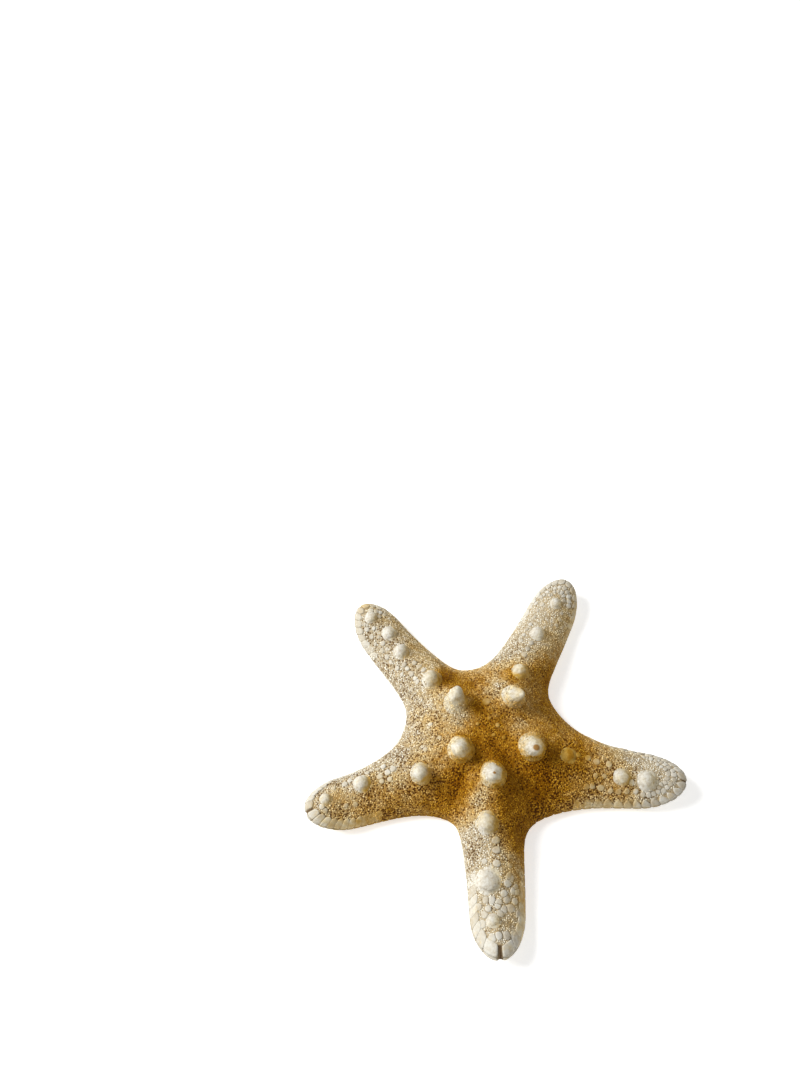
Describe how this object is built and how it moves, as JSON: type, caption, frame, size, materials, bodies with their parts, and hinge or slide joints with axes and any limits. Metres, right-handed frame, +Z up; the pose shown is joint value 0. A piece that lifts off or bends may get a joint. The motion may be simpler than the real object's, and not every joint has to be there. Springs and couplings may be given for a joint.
{
  "type": "dried horned starfish",
  "caption": "Dried sea star with five tapering arms, rows of blunt horns along the top and a grooved, plated flat underside.",
  "frame": {"origin": "bottom centre of the bounding box, on the surface that the starfish rests on", "axes": "+Z up out of the back, +Y between the two far arms, +X to the right along the resting surface"},
  "size_m": [0.1344, 0.1392, 0.0261],
  "materials": {
    "skin": "matt dried skin, ochre on the disc and cream on the arms, closely covered in granules",
    "horn": "smooth matt cream horn with fine pits",
    "plate": "matt cream chalky plates with dust in the joints",
    "spine": "golden brown groove spines"
  },
  "bodies": {
    "root": {"starfish": "skin"}
  },
  "joints": []
}
